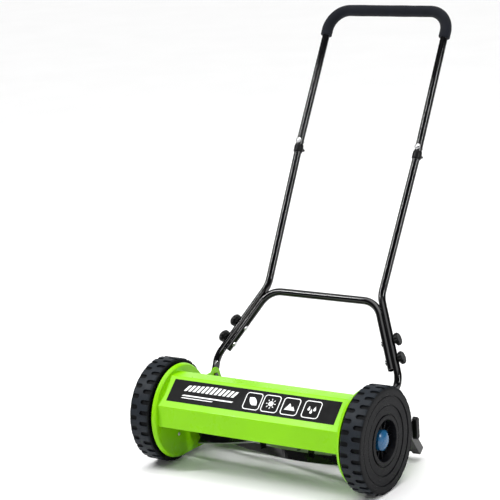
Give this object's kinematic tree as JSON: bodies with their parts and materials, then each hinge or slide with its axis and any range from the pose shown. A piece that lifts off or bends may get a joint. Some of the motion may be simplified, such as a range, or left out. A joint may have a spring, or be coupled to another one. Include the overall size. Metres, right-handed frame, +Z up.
{
  "type": "push reel mower",
  "caption": "Push reel mower with geared ground wheels, a helical blade reel, bed knife, rear height rollers and a folding tubular handle.",
  "frame": {"origin": "on the ground, midway between the wheels and midway from the front of the tyres to the back of the grip", "axes": "+X along the axle to the right-hand wheel seen from the front in the picture, -Y to the front of the mower, +Z up"},
  "size_m": [0.544, 0.6906, 0.8819],
  "materials": {
    "green_paint": "gloss powder coat",
    "panel_black": "satin",
    "zinc_steel": "zinc plated",
    "dark_steel": "blackened",
    "reel_paint": "gloss black",
    "blade_steel": "black with a bright ground edge",
    "knife_steel": "ground",
    "wheel_plastic": "satin charcoal",
    "tread_plastic": "matt blue-grey",
    "cap_blue": "gloss blue",
    "bracket_paint": "satin black",
    "roller_plastic": "satin black",
    "knob_plastic": "satin black",
    "tube_paint": "gloss black",
    "grip_foam": "matt foam"
  },
  "bodies": {
    "frame": {"side_plate_left": "green_paint", "side_plate_right": "green_paint", "front_cover": "green_paint", "cover_panel": "panel_black", "cover_rivets": "zinc_steel", "axle_left": "zinc_steel", "axle_right": "zinc_steel", "axle_rivets": "zinc_steel", "axle_clips": "dark_steel", "reel_bearing_left": "zinc_steel", "reel_bearing_right": "zinc_steel", "carrier_pivot_bolts": "zinc_steel", "carrier_clamp_bolts": "zinc_steel", "carrier_springs": "dark_steel", "height_studs": "zinc_steel", "handle_pivot_bolts": "tube_paint"},
    "wheel_l": {"wheel_left": "wheel_plastic", "tyre_left": "tread_plastic", "hub_cap_left": "cap_blue"},
    "wheel_r": {"wheel_right": "wheel_plastic", "tyre_right": "tread_plastic", "hub_cap_right": "cap_blue"},
    "pinion_l": {"pinion_left": "dark_steel"},
    "pinion_r": {"pinion_right": "dark_steel"},
    "reel": {"reel_shaft": "reel_paint", "reel_blade_1": "blade_steel", "reel_blade_2": "blade_steel", "reel_blade_3": "blade_steel", "reel_blade_4": "blade_steel", "reel_blade_5": "blade_steel", "reel_end_left": "reel_paint", "reel_end_right": "reel_paint", "reel_spider_left": "reel_paint", "reel_spider_right": "reel_paint", "thrust_washers": "zinc_steel", "drive_pawls": "zinc_steel", "pinion_clips": "dark_steel"},
    "knife": {"knife_carrier": "green_paint", "bed_knife": "knife_steel", "knife_screws": "dark_steel"},
    "bracket": {"roller_bracket": "bracket_paint", "roller_washers": "zinc_steel"},
    "roller_l": {"roller_left": "roller_plastic"},
    "roller_r": {"roller_right": "roller_plastic"},
    "knob_l": {"height_knob_left": "knob_plastic"},
    "knob_r": {"height_knob_right": "knob_plastic"},
    "handle": {"lower_tube_left": "tube_paint", "lower_tube_right": "tube_paint", "handle_brace": "tube_paint", "brace_bolts": "zinc_steel", "tube_coupler_left": "knob_plastic", "tube_coupler_right": "knob_plastic", "coupler_bolts": "zinc_steel", "upper_handle": "tube_paint", "foam_grip": "grip_foam"},
    "brace_knob_ll": {"brace_knob_left_low": "knob_plastic"},
    "brace_knob_lh": {"brace_knob_left_high": "knob_plastic"},
    "brace_knob_rl": {"brace_knob_right_low": "knob_plastic"},
    "brace_knob_rh": {"brace_knob_right_high": "knob_plastic"}
  },
  "joints": [
    {"name": "wheel_left_spin", "type": "hinge", "parent": "frame", "child": "wheel_l", "pos_m": [-0.249, -0.2378, 0.1075], "axis": [1, 0, 0], "continuous": true},
    {"name": "wheel_right_spin", "type": "hinge", "parent": "frame", "child": "wheel_r", "pos_m": [0.249, -0.2378, 0.1075], "axis": [1, 0, 0], "continuous": true},
    {"name": "pinion_left_spin", "type": "hinge", "parent": "frame", "child": "pinion_l", "pos_m": [-0.236, -0.16741, 0.07164], "axis": [1, 0, 0], "continuous": true},
    {"name": "pinion_right_spin", "type": "hinge", "parent": "frame", "child": "pinion_r", "pos_m": [0.236, -0.16741, 0.07164], "axis": [1, 0, 0], "continuous": true},
    {"name": "reel_spin", "type": "hinge", "parent": "frame", "child": "reel", "pos_m": [0, -0.16741, 0.07164], "axis": [1, 0, 0], "continuous": true},
    {"name": "knife_adjust", "type": "hinge", "parent": "frame", "child": "knife", "pos_m": [0, -0.1318, 0.0725], "axis": [1, 0, 0], "range_deg": [0, 2]},
    {"name": "roller_height", "type": "slide", "parent": "frame", "child": "bracket", "axis": [0, 0.6046, -0.7965], "range_m": [0, 0.02]},
    {"name": "roller_left_spin", "type": "hinge", "parent": "bracket", "child": "roller_l", "pos_m": [-0.116, -0.0478, 0.026], "axis": [1, 0, 0], "continuous": true},
    {"name": "roller_right_spin", "type": "hinge", "parent": "bracket", "child": "roller_r", "pos_m": [0.116, -0.0478, 0.026], "axis": [1, 0, 0], "continuous": true},
    {"name": "height_knob_left_turn", "type": "hinge", "parent": "frame", "child": "knob_l", "pos_m": [-0.255, -0.0998, 0.0945], "axis": [1, 0, 0], "continuous": true},
    {"name": "height_knob_right_turn", "type": "hinge", "parent": "frame", "child": "knob_r", "pos_m": [0.255, -0.0998, 0.0945], "axis": [1, 0, 0], "continuous": true},
    {"name": "handle_tilt", "type": "hinge", "parent": "frame", "child": "handle", "pos_m": [0, -0.1108, 0.1455], "axis": [1, 0, 0], "range_deg": [-52, 65]},
    {"name": "brace_knob_left_low_turn", "type": "hinge", "parent": "handle", "child": "brace_knob_ll", "pos_m": [-0.22317, -0.06233, 0.2246], "axis": [-0.8957, 0.2323, 0.3791], "continuous": true},
    {"name": "brace_knob_left_high_turn", "type": "hinge", "parent": "handle", "child": "brace_knob_lh", "pos_m": [-0.20472, -0.04291, 0.25629], "axis": [-0.8957, 0.2323, 0.3791], "continuous": true},
    {"name": "brace_knob_right_low_turn", "type": "hinge", "parent": "handle", "child": "brace_knob_rl", "pos_m": [0.22317, -0.06233, 0.2246], "axis": [0.8957, 0.2323, 0.3791], "continuous": true},
    {"name": "brace_knob_right_high_turn", "type": "hinge", "parent": "handle", "child": "brace_knob_rh", "pos_m": [0.20472, -0.04291, 0.25629], "axis": [0.8957, 0.2323, 0.3791], "continuous": true}
  ],
  "couplings": [
    {"joint": "pinion_left_spin", "follows": "wheel_left_spin", "ratio": 7.0769},
    {"joint": "pinion_right_spin", "follows": "wheel_right_spin", "ratio": 7.0769},
    {"joint": "reel_spin", "follows": "wheel_right_spin", "ratio": 7.0769}
  ]
}
